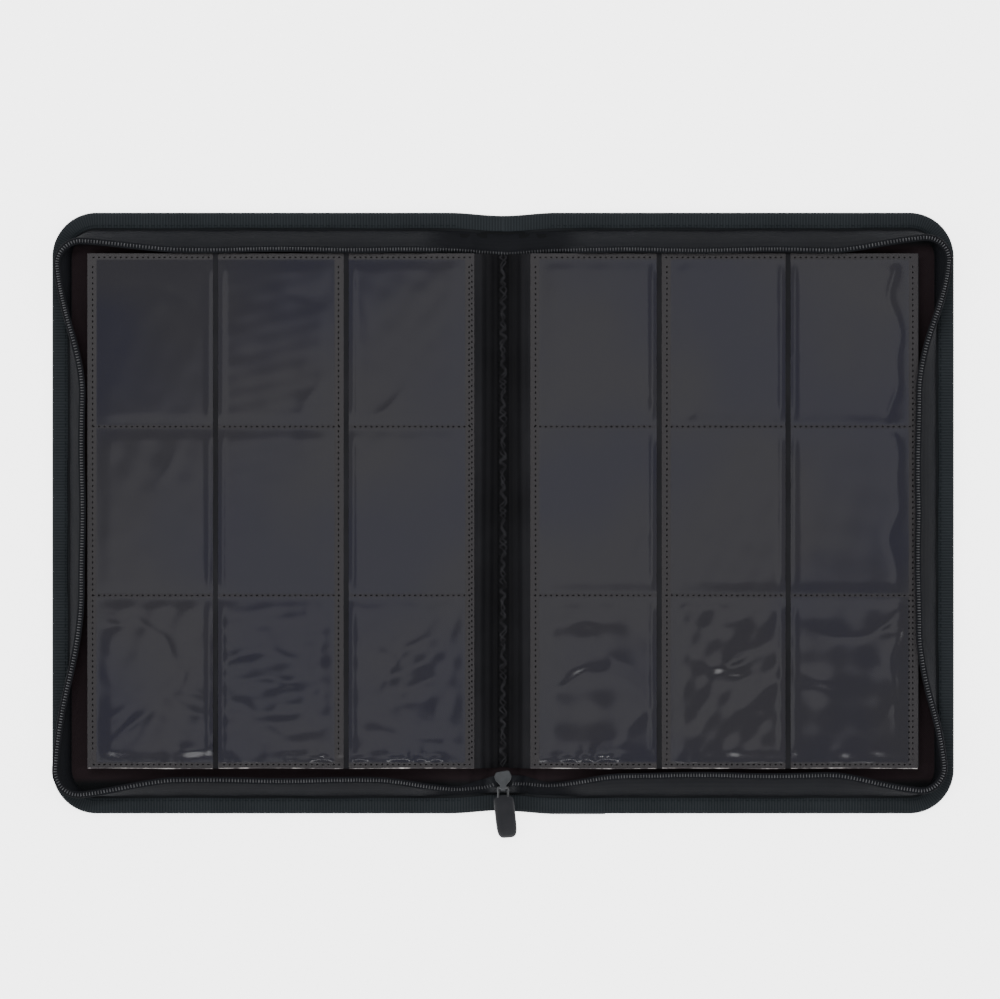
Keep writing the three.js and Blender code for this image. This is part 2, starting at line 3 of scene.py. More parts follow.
import bmesh
import bpy
import numpy as np
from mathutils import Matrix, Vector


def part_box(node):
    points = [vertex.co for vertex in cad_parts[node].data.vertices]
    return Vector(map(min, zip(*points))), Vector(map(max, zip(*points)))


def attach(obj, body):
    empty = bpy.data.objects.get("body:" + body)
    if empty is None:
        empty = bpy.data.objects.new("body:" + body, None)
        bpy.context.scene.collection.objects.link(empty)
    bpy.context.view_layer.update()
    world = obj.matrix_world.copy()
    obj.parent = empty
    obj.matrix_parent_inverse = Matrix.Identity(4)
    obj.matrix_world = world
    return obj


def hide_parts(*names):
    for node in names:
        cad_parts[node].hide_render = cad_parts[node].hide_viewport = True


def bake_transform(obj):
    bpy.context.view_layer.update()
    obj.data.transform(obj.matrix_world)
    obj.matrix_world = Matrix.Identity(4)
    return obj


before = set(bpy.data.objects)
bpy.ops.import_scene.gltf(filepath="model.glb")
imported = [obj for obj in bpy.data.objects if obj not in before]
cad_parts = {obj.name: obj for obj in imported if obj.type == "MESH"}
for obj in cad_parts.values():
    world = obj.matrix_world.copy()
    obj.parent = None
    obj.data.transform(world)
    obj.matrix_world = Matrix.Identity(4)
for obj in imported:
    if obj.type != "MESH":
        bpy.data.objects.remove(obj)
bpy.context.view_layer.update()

# Lengths are in millimetres until a mesh is made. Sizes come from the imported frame.


def boxOf(node):
    # The low and the high corner of a node's box.
    return np.array(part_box(node)) * 1000


highBinding = boxOf("back_cover_binding")[1]
(leafIn, leafLow, leafBase), (leafOut, leafHigh, backingTop) = boxOf("right_top_leaf_backing")
coilBase = boxOf("back_cover_zip_coil")[0][2]
seamHalf, _, seamTop = boxOf("leaf_seam")[1]
_, bailEnd, bailTop = boxOf("pull_bail")[1]

cover = {
    "outer": highBinding[0], "half": highBinding[1], "corner": 25.0, "foldOut": 16.5,
    "liningTop": boxOf("back_cover_lining")[1][2], "spineTop": boxOf("spine_lining")[1][2],
    "blendFrom": 13.8, "blendTo": 18.8,     # the span about the fold line
    "pullIn": 1.7,                          # the edge is drawn in this much over the spine
}


class Value:
    # One shader output that can be used in Python sums.
    def __init__(self, finish, output):
        self.finish = finish
        self.output = output

    def sum(self, kind, *inputs):
        return self.finish.node("ShaderNodeMath", {"operation": kind}, dict(enumerate(inputs)))

    def __add__(self, other):
        return self.sum("ADD", self, other)

    __radd__ = __add__

    def __sub__(self, other):
        return self.sum("SUBTRACT", self, other)

    def __rsub__(self, other):
        return self.sum("SUBTRACT", other, self)

    def __mul__(self, other):
        return self.sum("MULTIPLY", self, other)

    __rmul__ = __mul__

    def wave(self):
        return self.sum("SINE", self)

    def size(self):
        return self.sum("ABSOLUTE", self)


class Finish:
    # A material whose nodes are all made by node().
    def __init__(self, name, gloss=0.5, **constants):
        self.material = bpy.data.materials.new(name)
        self.material.use_nodes = True
        self.tree = self.material.node_tree
        self.shader = self.tree.nodes["Principled BSDF"]
        constants["Specular_IOR_Level"] = gloss
        for key, value in constants.items():
            self.shader.inputs[key.replace("_", " ")].default_value = value

    def node(self, kind, settings=None, sockets=None, output=0):
        made = self.tree.nodes.new(kind)
        for key, value in (settings or {}).items():
            setattr(made, key, value)
        for key, value in (sockets or {}).items():
            if isinstance(value, Value):
                self.tree.links.new(value.output, made.inputs[key])
            else:
                made.inputs[key].default_value = value
        return Value(self, made.outputs[output])

    def place(self):
        # The object's own coordinates, in metres.
        return self.node("ShaderNodeTexCoord", output=3)

    def part(self, axis, along=False):
        # One of those coordinates or, along a strip of cloth, of its own in millimetres.
        vector = self.node("ShaderNodeUVMap", {"uv_map": "cloth"}) if along else self.place()
        return self.node("ShaderNodeSeparateXYZ", {}, {0: vector}, output="XYZ".index(axis))

    def noise(self, scale, detail=3.0, rough=0.55):
        return self.node("ShaderNodeTexNoise", {}, {
            "Vector": self.place(), "Scale": scale, "Detail": detail, "Roughness": rough})

    def weave(self, pitch):
        # Two crossed sets of threads: the sine of x over the pitch times the sine of y over it.
        turn = math.pi / pitch
        return (self.part("X") * turn).wave() * (self.part("Y") * turn).wave()

    def between(self, factor, low, high):
        # (factor - low) / (high - low), kept between 0 and 1.
        return self.node("ShaderNodeMapRange", {"clamp": True}, {
            "Value": factor, "From Min": low, "From Max": high})

    def mix(self, factor, dark, light):
        # dark (1 - factor) + light factor.
        ends = [end if isinstance(end, Value) else (*end, 1) for end in (dark, light)]
        return self.node("ShaderNodeMix", {"data_type": "RGBA"}, {
            0: factor, 6: ends[0], 7: ends[1]}, output=2)

    def feed(self, **sockets):
        for key, value in sockets.items():
            self.tree.links.new(value.output, self.shader.inputs[key.replace("_", " ")])
        return self

    def bump(self, height, distance, strength=1.0):
        return self.node("ShaderNodeBump", {}, {
            "Strength": strength, "Distance": distance, "Height": height})


def lay(*axes):
    # Coordinates side by side as points, after numpy has spread them to one shape.
    return np.stack(np.broadcast_arrays(*axes), -1)


def unit(vectors):
    return vectors / np.linalg.norm(vectors, axis=1, keepdims=True)


def circle(count):
    return np.linspace(0, 2 * math.pi, count, endpoint=False)


def gridFaces(rows, columns, closed=False):
    # Quads between neighbouring rows and columns of a grid of points.
    r = np.arange(rows - 1)[:, None] * columns
    c = np.arange(columns if closed else columns - 1)[None, :]
    after = (c + 1) % columns
    return lay(r + c, r + after, r + columns + after, r + columns + c).reshape(-1, 4)


def makePart(points, faces, uv=None, mask=None, look=0):
    # uv holds millimetres of cloth, mask the amount of weld, and look the number of the finish.
    points = np.reshape(points, (-1, 3))
    return {
        "points": points, "faces": faces, "look": look,
        "uv": np.zeros((len(points), 2)) if uv is None else np.reshape(uv, (-1, 2)),
        "mask": np.zeros(len(points)) if mask is None else np.ravel(mask),
    }


def sweep(rings, uv=None, look=0):
    # A solid through rings of points, each ring a closed outline, with flat ends.
    count, width = rings.shape[:2]
    faces = gridFaces(count, width, True).tolist()
    faces += [list(range(width)), list(range((count - 1) * width, count * width))]
    return makePart(rings, faces, uv, None, look)


def shell(x, y, z, thickness, uv=None, mask=None, look=0):
    # A sheet over a grid with a wall of the given thickness below it, closed round its edge.
    rows, columns = x.shape
    count = rows * columns
    top = lay(x, y, z).reshape(-1, 3)
    low = top - np.array([0, 0, thickness])
    faces = gridFaces(rows, columns)
    index = np.arange(count).reshape(rows, columns)
    rim = np.concatenate([index[0, :-1], index[:-1, -1], index[-1, :0:-1], index[:0:-1, 0]])
    after = np.roll(rim, -1)
    wall = lay(rim, rim + count, after + count, after)
    everyFace = np.concatenate([faces, faces[:, ::-1] + count, wall]).tolist()
    both = [None if a is None else np.concatenate([a.reshape(count, -1)] * 2) for a in (uv, mask)]
    return makePart(np.concatenate([top, low]), everyFace, *both, look)


def scatter(part, places, sideways, forward, upward):
    # Copies of one small part, each at its own place and turned to its own three directions.
    p = part["points"]
    points = (places[:, None] + p[None, :, :1] * sideways[:, None]
              + p[None, :, 1:2] * forward[:, None] + p[None, :, 2:] * upward[:, None])
    starts = (np.arange(len(places)) * len(p))[:, None, None]
    faces = []
    for size in sorted({len(f) for f in part["faces"]}):
        some = np.array([f for f in part["faces"] if len(f) == size])
        faces += (some[None] + starts).reshape(-1, size).tolist()
    return makePart(points, faces)


def makePiece(name, parts, looks, side=1, sharp=35):
    # One object from several closed parts, in metres, with its normals turned outwards. The parts
    # are drawn for the right half; side -1 mirrors them to the left.
    points = np.concatenate([p["points"] for p in parts]) * 0.001 * np.array([side, 1, 1])
    faces, look, start = [], [], 0
    for p in parts:
        faces += [tuple(i + start for i in f) for f in p["faces"]]
        look += [p["look"]] * len(p["faces"])
        start += len(p["points"])
    mesh = bpy.data.meshes.new(name)
    mesh.from_pydata(points.tolist(), [], faces)
    mesh.polygons.foreach_set("material_index", look)
    uvs = np.concatenate([p["uv"] for p in parts])
    masks = np.concatenate([p["mask"] for p in parts])
    loops = np.empty(len(mesh.loops), int)
    mesh.loops.foreach_get("vertex_index", loops)
    layer = mesh.uv_layers.new(name="cloth")
    layer.data.foreach_set("uv", uvs[loops].ravel())
    mesh.attributes.new("weld", "FLOAT", "POINT").data.foreach_set("value", masks)
    tidy = bmesh.new()
    tidy.from_mesh(mesh)
    bmesh.ops.recalc_face_normals(tidy, faces=tidy.faces)
    tidy.to_mesh(mesh)
    tidy.free()
    mesh.polygons.foreach_set("use_smooth", [True] * len(mesh.polygons))
    mesh.set_sharp_from_angle(angle=math.radians(sharp))
    for finish in looks:
        mesh.materials.append(finish.material)
    return addObject(name, mesh)


def ease(low, high, value):
    # 0 below low, 1 above high, and 3t^2 - 2t^3 between them.
    t = np.clip((value - low) / (high - low), 0, 1)
    return t * t * (3 - 2 * t)


def addObject(name, data):
    made = bpy.data.objects.new(name, data)
    bpy.context.scene.collection.objects.link(made)
    return made


def bell(value, middle, width):
    # exp(-((value - middle) / width)^2).
    return np.exp(-((value - middle) / width) ** 2)


def halfName(side):
    return "back" if side > 0 else "front"


def leafName(side):
    return "right" if side > 0 else "left"


def makeHalf(side, name, parts, looks, sharp=35):
    # Cloth on one half of the binder, as one piece with its placement baked into its points.
    piece = makePiece(f"{halfName(side)}{name}", parts, looks, side, sharp)
    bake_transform(piece)
    return piece


def grainFinish(name, scale, detail, dark, light, span=(0, 1), rough=None, bump=None, gloss=0.5,
                **constants):
    # One noise sets the colour between dark and light and, where given, roughness and bump.
    f = Finish(name, gloss, **constants)
    grain = f.noise(scale, detail)
    f.feed(Base_Color=f.mix(f.between(grain, *span), dark, light))
    if rough:
        f.feed(Roughness=grain * rough[0] + rough[1])
    if bump:
        f.feed(Normal=f.bump(grain, *bump))
    return f


def threadFinish(name, low, high):
    # Twisted plies, paler in patches.
    f = Finish(name, 0.08, Roughness=0.75)
    twist = (f.part("X") * 5200.0 + f.part("Y") * 4200.0).wave() * 0.5 + 0.5
    tone = f.between(twist * 0.4 + f.noise(210.0, 2) * 1.2, 0.4, 1.2)
    return f.feed(Base_Color=f.mix(tone, low, high), Normal=f.bump(twist, 0.0001, 0.6))


# A fine weave under soft blotches.
coverCloth = f = Finish("coverCloth", 0.08)
weave = f.weave(0.0006)
blotch = f.noise(14.0, 4)
shade = f.mix(f.between(blotch * 0.7 + weave * 0.18, 0.15, 0.6),
              (0.006, 0.0068, 0.008), (0.016, 0.018, 0.0205))
f.feed(Base_Color=shade, Roughness=f.between(blotch, -0.6, 1.6) * 0.3 + 0.45,
       Normal=f.bump(weave * 0.6 + f.noise(900.0) * 0.7, 0.0002, 0.7))

# Dark red cloth, painted darker where the square of y is large: painted shade under the tape's edge.
liningCloth = f = Finish("liningCloth", 0.08)
weave = f.weave(0.0005)
cloud = f.noise(9.0, 3)
shade = f.mix(cloud, (0.011, 0.0068, 0.0082), (0.021, 0.0142, 0.0162))
away = f.part("Y") * f.part("Y")
# Painted shade: near the ends the lining is coloured dark, where a shadow line falls between the
# binding and the tape.
shade = f.mix(f.between(away, 0.0219, 0.0228), shade, (0.006, 0.0066, 0.0074))
f.feed(Base_Color=shade, Roughness=f.between(cloud, -1, 2) * 0.3 + 0.6,
       Normal=f.bump(weave + f.noise(500.0) * 0.8, 0.00015, 0.6))

# Herringbone tape: slanting threads that turn back at every rib of the tape.
zipTapeCloth = f = Finish("zipTapeCloth", 0.12)
turned = (f.part("Y", True) * (math.pi / 1.6)).wave().size() * 1.6 + f.part("X", True)
thread = (turned * (2 * math.pi / 0.7)).wave() * 0.5 + 0.5
wear = f.noise(22.0, 4)
tone = f.between(thread * 0.25 + wear * 0.9, 0.25, 0.95)
shade = f.mix(tone, (0.003, 0.0034, 0.005), (0.0088, 0.0097, 0.0124))
f.feed(Base_Color=shade, Roughness=wear * 0.25 + 0.52,
       Normal=f.bump(thread, 0.00012, 0.6))

# Black weave, painted darker down by the seam as shade in the gutter and paler outside, as the square
# of x grows.
leafCloth = f = Finish("leafCloth", 0.07)
weave = f.weave(0.00045)
cloud = f.noise(26.0, 4)
tone = f.between(cloud * 0.8 + weave * 0.2, 0.2, 0.7)
gutterShade = f.mix(tone, (0.0026, 0.0026, 0.0032), (0.0085, 0.0085, 0.01))
pale = f.mix(tone, (0.0085, 0.0085, 0.01), (0.021, 0.021, 0.024))
away = f.part("X") * f.part("X")
# Painted shade: the cloth darkens towards the seam, down in the gutter.
shade = f.mix(f.between(away, 0.00001, 0.00018), gutterShade, pale)
f.feed(Base_Color=shade, Roughness=cloud * 0.2 + 0.5,
       Normal=f.bump(weave, 0.00014, 0.6))

# Clear film over black cloth: hazier along its welds, tinted faintly blue, with lighter mauve clouds
# that are painted reflection patches.
clearFilm = f = Finish("clearFilm", Alpha=0.8)
weld = f.node("ShaderNodeAttribute", {"attribute_name": "weld"}, output=2)
cloud = f.noise(11.0, 2, 0.4)
fine = f.noise(1500.0, 2)
# Painted reflection: the clouds mix the film's bluish tint with lighter mauve patches that stand in
# for soft reflections.
tintAndReflection = f.mix(f.between(cloud, 0.4, 0.6), (0.006, 0.006, 0.0165), (0.0105, 0.0098, 0.0155))
shade = f.mix(weld, tintAndReflection, (0.011, 0.0085, 0.0112))
ripple = f.noise(48.0, 3, 0.45)
f.feed(Base_Color=shade, Roughness=weld * 0.3 + fine * 0.05 + 0.09,
       Normal=f.bump(ripple, 0.0012, 0.06))

# Matt metal paint: fine grain and wider wear in equal parts.
sliderPaint = f = Finish("sliderPaint", 0.3, Metallic=0.3)
grain = f.noise(2600.0, 3)
wear = f.noise(240.0, 3)
f.feed(Base_Color=f.mix(f.between(wear * 0.5 + grain * 0.5, 0.3, 0.7),
                        (0.03, 0.0325, 0.0355), (0.055, 0.0585, 0.063)),
       Roughness=grain * 0.2 + 0.42, Normal=f.bump(grain, 0.00006, 0.5))

# Soft rubber: mostly clouds, with some fine grain.
pullRubber = f = Finish("pullRubber", 0.2)
grain = f.noise(3200.0, 2)
cloud = f.noise(90.0, 3)
f.feed(Base_Color=f.mix(f.between(cloud * 0.7 + grain * 0.3, 0.3, 0.7),
                        (0.0068, 0.0072, 0.0094), (0.0125, 0.013, 0.0162)),
       Roughness=cloud * 0.2 + 0.5, Normal=f.bump(grain, 0.00005, 0.6))

greyBoard = grainFinish("greyBoard", 260.0, 5, (0.17, 0.14, 0.1), (0.3, 0.25, 0.18),
                        bump=(0.0003, 0.6), Roughness=0.9)
foamPad = grainFinish("foamPad", 1400.0, 2, (0.05, 0.05, 0.055), (0.13, 0.13, 0.14),
                      bump=(0.0004, 0.8), Roughness=0.95)
nylonCoil = grainFinish("nylonCoil", 420.0, 2, (0.035, 0.036, 0.04), (0.098, 0.1, 0.108),
                        (0.3, 0.7), (0.2, 0.26), gloss=0.4)
bindingThread = threadFinish("bindingThread", (0.006, 0.009, 0.011), (0.016, 0.021, 0.024))
# The seam thread runs from near black to a paler grey, the paler end a painted highlight on the zigzag
# threads.
seamThread = threadFinish("seamThread", (0.002, 0.002, 0.0025), (0.034, 0.034, 0.038))
weldDot = grainFinish("weldDot", 900.0, 2, (0.0006, 0.0006, 0.0008), (0.0025, 0.0024, 0.003),
                      Roughness=0.6, gloss=0.1)
# Painted highlight: the film's cut edge is coloured near white where it catches the light.
filmEdgeHighlight = grainFinish("filmEdgeHighlight", 130.0, 3, (0.08, 0.07, 0.074), (0.85, 0.8, 0.79),
                       (0.45, 0.72), Roughness=0.25, gloss=0.7)
steelWire = grainFinish("steelWire", 600.0, 3, (0.03, 0.031, 0.033), (0.11, 0.112, 0.116),
                        rough=(0.25, 0.25), Metallic=1.0)
print("finishes made")


def edgeMarks(inset):
    # The path's corner radius, its straight run over half the width, its straight run over half
    # the height, and a corner's arc.
    r = cover["corner"] - inset
    flat = cover["outer"] - inset - r
    tall = cover["half"] - inset - r
    return r, flat, tall, math.pi * r / 2


def edgeLength(inset):
    r, flat, tall, arc = edgeMarks(inset)
    return 2 * (flat + arc + tall)


def edgeAt(s, inset):
    # The path runs from the middle of the spine along the top, down the side and back along the
    # bottom. Returns its place, outward normal and distance from the nearer corner's middle.
    r, flat, tall, arc = edgeMarks(inset)
    first = np.clip((s - flat) / arc, 0, 1)
    second = np.clip((s - flat - arc - 2 * tall) / arc, 0, 1)
    angle = math.pi / 2 * (1 - first - second)
    nx, ny = np.cos(angle), np.sin(angle)
    cx = np.clip(s, 0, flat) - np.clip(s - flat - 2 * arc - 2 * tall, 0, flat)
    cy = tall - np.clip(s - flat - arc, 0, 2 * tall)
    fromCorner = np.minimum(abs(s - flat - arc / 2), abs(s - flat - 1.5 * arc - 2 * tall))
    x, y = cx + r * nx, cy + r * ny
    drawn = cover["pullIn"] * (1 - ease(0, 30, x)) * np.sign(y)
    return x, y - drawn * (abs(ny) > 0.7), nx, ny, fromCorner


outerCloth = {
    "inset": 6.2, "thick": 0.45, "tuck": 0.95, "roll": 4.5, "foldRise": 0.55, "foldHalf": 2.6,
    "quilt": 0.12, "finePart": 24, "middlePart": 200,
}


def makeOuterCloth(side, *replaced):
    # Cloth over foam, board and spine: it rises to its tucked edge and over the fold, and has
    # faint waves between them.
    o = outerCloth
    wide, high, r = (cover[k] - o["inset"] for k in ("outer", "half", "corner"))
    even = np.linspace(-1, 1, 121)
    v = 0.55 * np.sin(even * math.pi / 2) + 0.45 * even
    u = np.concatenate([np.linspace(0, o["finePart"], 41)[:-1],
                        np.linspace(o["finePart"], o["middlePart"], 60)[:-1],
                        np.linspace(o["middlePart"], wide, 44)])
    y = np.repeat((v * high)[:, None], len(u), 1)
    reach = wide - r + np.sqrt(np.maximum(r * r - np.maximum(abs(y) - (high - r), 0) ** 2, 0))
    x = u[None] * reach / wide
    # Distance in from the edge of the rounded rectangle.
    qx, qy = x - (wide - r), abs(y) - (high - r)
    fromEdge = r - np.where((qx > 0) & (qy > 0), np.hypot(qx, qy), np.maximum(qx, qy))
    rise = o["tuck"] * (1 - ease(1.5, o["roll"], fromEdge)) ** 1.5
    fold = o["foldRise"] * bell(x, cover["foldOut"], o["foldHalf"])
    ripple = o["quilt"] * (0.5 + 0.5 * np.sin(x / 31 + 0.6 * np.sin(y / 43))) \
        * (0.5 + 0.5 * np.sin(y / 37 + side + x / 71))
    z = np.maximum(rise, fold) + ripple * ease(8, 40, fromEdge) * ease(20, 60, x)
    part = shell(x, y, z + o["thick"], o["thick"], uv=lay(x, y))
    piece = makeHalf(side, "OuterCloth", [part], [coverCloth])
    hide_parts(f"{halfName(side)}_cover_skin", *replaced)


makeOuterCloth(1, "spine_skin")
makeOuterCloth(-1)
print("outer cloth made")

binding = {
    "width": 8.8, "top": highBinding[2], "wall": 0.75, "pitch": 1.6, "rib": 0.13,
    "round": 1.3,                # radius of the turned edge
    "joinAt": 57.0,              # the strip's two ends overlap here, on the bottom edge
    "overlap": 0.34,
    "stitch": 2.6, "stitchGap": 0.9, "stitchIn": 1.4, "stitchWide": 0.42, "stitchHigh": 0.34,
    "stitchFrom": 24,
}

# Grosgrain: the ribs are in the mesh, and the colour darkens between them as painted shade in the
# grooves.
ribbedBinding = f = Finish("ribbedBinding", 0.12)
rib = (f.part("X", True) * (2 * math.pi / binding["pitch"])).wave() * 0.5 + 0.5
thread = (f.part("Y", True) * (2 * math.pi / 0.55)).wave() * 0.5 + 0.5
wear = f.noise(30.0, 4)
tone = f.between(rib * 0.55 + wear * 0.75 + thread * 0.12, 0.3, 1.15)
shade = f.mix(tone, (0.0075, 0.0102, 0.0124), (0.0235, 0.028, 0.032))
f.feed(Base_Color=shade, Roughness=wear * 0.25 + 0.55,
       Normal=f.bump(thread + f.noise(1800.0) * 0.6, 0.00012, 0.6))


def bindingOutline():
    # A C section: along the top, round the edge and back along the underside, then the inside.
    w, top, t, r = binding["width"], binding["top"], binding["wall"], binding["round"]
    turn = np.linspace(0, math.pi / 2, 5)
    upper = np.stack([r - r * np.sin(turn), top - r + r * np.cos(turn)], -1)
    lower = np.stack([r - r * np.cos(turn), r - r * np.sin(turn)], -1)
    flatTop = [[w, top - 0.28], [w - 0.5, top - 0.04], [w * 0.62, top + 0.03],
               [w * 0.35, top + 0.02]]
    flatLow = [[w * 0.4, 0.0], [w - 0.5, 0.04], [w, 0.25]]
    outer = np.concatenate([flatTop, upper, lower, flatLow])
    inner = [[w, 0.25 + t * 0.6], [r, t + 0.1], [t, r], [t, top - r], [r, top - t - 0.1],
             [w, top - 0.25 - t * 0.75]]
    return outer, np.array(inner)


def makeBinding(side, *replaced):
    # The section goes along the edge. Its outer points are pushed out by the ribs, and by the
    # overlap where the strip's ends meet; its inner edge wanders a little.
    b = binding
    outer, inner = bindingOutline()
    total = edgeLength(0)
    s = np.linspace(0, total, int(total / b["pitch"] * 4) + 1)[:, None]
    x, y, nx, ny, _ = edgeAt(s, 0)
    rib = b["rib"] * (0.5 + 0.5 * np.cos(2 * math.pi * s / b["pitch"]))
    away = lay(np.where(outer[:, 0] < b["round"], -1.0, 0.0),
               np.sign(outer[:, 1] - b["top"] / 2) * (outer[:, 0] > b["round"] * 0.4))
    away /= np.maximum(np.linalg.norm(away, axis=1, keepdims=True), 1)
    wander = 0.18 * np.sin(s / 23.0 + side) + 0.12 * np.sin(s / 9.1)
    joined = (side > 0) & (y < 0) & (x < b["joinAt"]) & (abs(ny) > 0.9)
    lift = rib + np.where(joined, b["overlap"], 0.0) - b["rib"]
    a = outer[:, 0] + away[:, 0] * lift
    z = outer[:, 1] + away[:, 1] * np.maximum(lift, -outer[:, 1])
    a = a + wander * 0.6 * (outer[:, 0] > b["width"] * 0.8)
    a = np.concatenate([a, np.tile(inner[:, 0], (len(s), 1))], 1)
    z = np.concatenate([z, np.tile(inner[:, 1], (len(s), 1))], 1)
    # Over the spine the strip lies lower, as the spine is thinner than a cover.
    thin = 1 - (1 - (cover["spineTop"] + 0.5) / b["top"]) * (1 - ease(11, 24, x))
    z = np.maximum(z * np.where(abs(ny) > 0.9, thin, 1), 0.0)
    rings = lay(x - nx * a, y - ny * a, z)
    steps = np.hypot(*np.diff(np.concatenate([outer, inner]), axis=0).T)
    strip = sweep(rings, lay(s, np.concatenate([[0], np.cumsum(steps)])))
    piece = makeHalf(side, "Binding", [strip], [ribbedBinding], 60)
    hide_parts(f"{halfName(side)}_cover_binding", *replaced)


def bentBar(t, wide, tall, lift):
    # Six-sided rings along x, with their half widths, their half heights and their lift.
    ring = circle(6)
    return lay(t[:, None], np.cos(ring) * wide[:, None],
               np.sin(ring) * tall[:, None] + lift[:, None])


def makeBindingStitches(side):
    # Short threads that rise from the cloth and go back in, above and below, beside the spine.
    b = binding
    t = np.linspace(-1, 1, 5)
    radius = np.sqrt(np.maximum(1 - 0.8 * t ** 4, 0.05)) / 2
    one = sweep(bentBar(t * b["stitch"] / 2, b["stitchWide"] * radius, b["stitchHigh"] * radius,
                        b["stitchHigh"] * (0.7 * (1 - t ** 2) - 0.5)))
    s = np.arange(3.0, edgeLength(0) - 3.0, b["stitch"] + b["stitchGap"])
    x, y, nx, ny, _ = edgeAt(s, 0)
    inset = b["width"] - b["stitchIn"]
    x, y, nx, ny = np.array([x - nx * inset, y - ny * inset, nx, ny])[:, x > b["stitchFrom"]]
    parts = [scatter(one, lay(x, y, z), lay(ny, -nx, 0), lay(nx, ny, 0), lay(0 * x, 0, up))
             for z, up in ((b["top"] + 0.03, 1.0), (0.12, -1.0))]
    piece = makePiece(f"{halfName(side)}BindingStitches", parts, [bindingThread], side)
    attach(piece, f"{halfName(side)}_cover")


makeBinding(1, "spine_binding_top", "spine_binding_bottom")
makeBinding(-1)
makeBindingStitches(1)
makeBindingStitches(-1)
print("binding made")

zipTape = {
    "inset": 10.4, "thick": 0.6, "foot": cover["liningTop"] - 0.45, "top": coilBase - 0.1,
    "endReach": 60.0, "power": 2.3, "levels": 14,
    "valleyFrom": 12.6, "valleyTo": 21.0, "hill": 4.5, "standAt": 48.0, "valleyHeight": 0.09,
    "lip": 1.9, "lipThick": 0.5, "pitch": 1.55, "toothLength": 1.8, "toothWidth": 0.52,
    "flap": 1.5, "flangeFrom": 7.4, "flangeTo": 11.8, "flangeThick": 0.4,
    "toothHeight": 1.05, "sliderLine": -150.4,
}
# How the tape leans inward from its base line on each half: at mid side, and in pairs of top and
# bottom along the ends and at the corners; and how far it bulges out there, and over what reach.
zipLean = {
    1: {"side": 10.2, "end": (10.9, 11.3), "corner": (3.6, 2.4), "bulge": (7.3, 4.4),
        "reach": (88.0, 90.0), "spineDrop": 6.2},
    -1: {"side": 7.1, "end": (10.6, 8.6), "corner": (5.6, 0.2), "bulge": (7.2, 8.0),
         "reach": (90.0, 112.0), "spineDrop": 5.6},
}


def fade(distance, reach):
    # (1 - u^2)^2: 1 at a corner's middle and 0 at the reach.
    u = np.minimum(distance / reach, 1)
    return (1 - u * u) ** 2


def leanAt(x, y, nx, ny, fromCorner, side):
    # How far the coil stands from the base line: out at the corners, in between them.
    k = zipLean[side]
    upper = y > 0
    end, corner, bulge, reach = (
        np.where(upper, *k[name]) for name in ("end", "corner", "bulge", "reach"))
    near = fade(fromCorner, reach)
    nearEnd = fade(fromCorner, zipTape["endReach"])
    dx = bulge * near - k["side"] * nx * (1 - near)
    # Near the slider the bottom run stands up straighter, then turns in to the slider.
    drop = k["spineDrop"] * ease(70, 22, x) * (1 - upper)
    turnIn = zipTape["sliderLine"] + cover["half"] - zipTape["inset"] - cover["pullIn"]
    inward = end - drop
    inward = inward + (turnIn - inward) * ease(12, 2, x) * (1 - upper)
    dy = -inward * ny * (1 - nearEnd) - corner * np.sign(y) * nearEnd
    waver = 0.35 * np.sin(fromCorner / 13.0 + side) * ease(30, 60, fromCorner) \
        * ease(45, 70, x)
    return dx + waver * nx, dy + waver * ny


def standing(x, y, ny):
    # 1 where the tape stands up, nearly 0 where it lies down to pass the fold beside the spine.
    z = zipTape
    hill = (1 - ease(z["hill"], z["valleyFrom"], x)) * (y < 0)
    rise = ease(z["valleyTo"], z["standAt"], x) ** 1.5
    low = z["valleyHeight"]
    return np.where(abs(ny) > 0.5, low + (1 - low) * np.maximum(hill, rise), 1.0)


def zipStations(step):
    # Distances along the base line, about a step apart.
    total = edgeLength(zipTape["inset"])
    return np.linspace(0, total, int(total / step) + 1)


def zipLine(s, side):
    # Place, outward normal, lean and standing of the tape at each station.
    x, y, nx, ny, fromCorner = edgeAt(s, zipTape["inset"])
    dx, dy = leanAt(x, y, nx, ny, fromCorner, side)
    return x, y, nx, ny, dx, dy, standing(x, y, ny)


def footHeight(x):
    # The tape's foot is on the lining, which is lower on the spine.
    return zipTape["foot"] - (cover["liningTop"] - cover["spineTop"]) * (1 - ease(13, 19, x))


